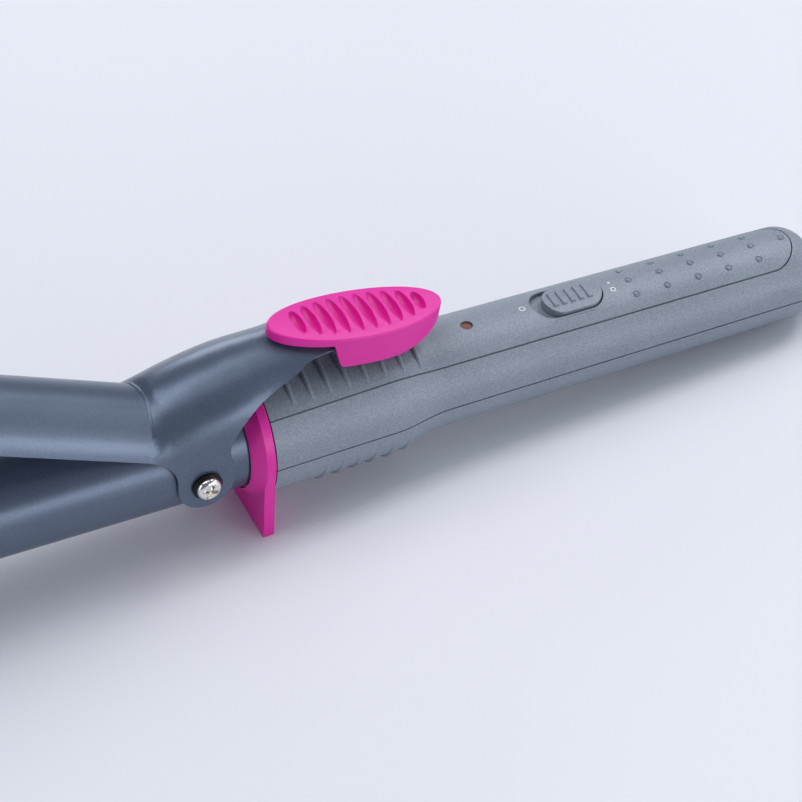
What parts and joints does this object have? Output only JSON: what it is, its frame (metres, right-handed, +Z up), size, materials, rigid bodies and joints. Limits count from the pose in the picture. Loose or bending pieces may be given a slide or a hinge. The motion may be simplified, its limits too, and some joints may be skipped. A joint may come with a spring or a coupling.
{
  "type": "curling iron",
  "caption": "Hair curling iron with a sprung sheet clamp on side screws, oval thumb pad, stand collar and a tapered two-shell handle with a slide switch.",
  "frame": {"origin": "bottom centre of the whole object, on the surface it rests on with its stand foot and handle end", "axes": "+X towards the cord end of the handle, +Y to the left side, +Z up; the barrel points to -X and rises by about 4 degrees"},
  "size_m": [0.328, 0.032, 0.0967],
  "materials": {
    "heated_paint": "satin grey-blue heat-resistant paint",
    "handle_plastic": "fine-textured grey moulding",
    "pink_plastic": "satin pink moulding",
    "tip_plastic": "heat-proof grey moulding",
    "chrome_steel": "bright",
    "zinc_steel": "zinc plated",
    "black_steel": "blackened steel",
    "spring_steel": "drawn wire",
    "aluminium": "extruded",
    "ceramic": "fired ceramic",
    "brass": "rolled strip",
    "film": "amber film",
    "dark_plastic": "black moulding",
    "lead_sleeve": "white silicone sleeve",
    "board": "laminate",
    "lamp_red": "reddish clear"
  },
  "bodies": {
    "iron_body": {"barrel_tube": "heated_paint", "cool_tip": "tip_plastic", "tip_screw": "zinc_steel", "heat_spreader_upper": "aluminium", "heat_spreader_lower": "aluminium", "heater_insulation": "film", "heater_electrodes": "brass", "ptc_elements": "ceramic", "thermal_fuse": "lead_sleeve", "heater_leads": "lead_sleeve", "lead_insulator": "ceramic", "hinge_bracket": "zinc_steel", "pivot_screws": "chrome_steel", "pivot_bushes": "black_steel", "spring_seat": "zinc_steel", "spring_pin": "zinc_steel", "torsion_spring": "spring_steel", "stand_collar": "pink_plastic", "barrel_holder": "dark_plastic", "upper_handle_shell": "handle_plastic", "lower_handle_shell": "handle_plastic", "top_panel": "handle_plastic", "handle_screws": "zinc_steel", "circuit_board": "board", "indicator_led": "lamp_red", "lamp_lens": "lamp_red", "switch_body": "dark_plastic", "contact_carrier": "dark_plastic", "contact_blades": "brass", "supply_leads": "lead_sleeve"},
    "clamp": {"clamp_plate": "heated_paint", "thumb_pad": "pink_plastic"},
    "switch_slider": {"slide_button": "handle_plastic", "switch_actuator": "dark_plastic"},
    "cord_swivel": {"cord_gland": "handle_plastic", "contact_rings": "brass"}
  },
  "joints": [
    {"name": "clamp_pivot", "type": "hinge", "parent": "iron_body", "child": "clamp", "pos_m": [-0.00646, 0, 0.02206], "axis": [0, 1, 0], "range_deg": [-24.2, 4], "stiffness_Nm_per_rad": 0.3, "springref_deg": -42.97, "deforming": ["torsion_spring"]},
    {"name": "switch_slide", "type": "slide", "parent": "iron_body", "child": "switch_slider", "axis": [0.9977, 0, -0.0678], "range_m": [-0.003, 0]},
    {"name": "cord_swivel_turn", "type": "hinge", "parent": "iron_body", "child": "cord_swivel", "pos_m": [0.15576, 0, 0.01103], "axis": [0.9977, 0, -0.0678], "continuous": true}
  ]
}
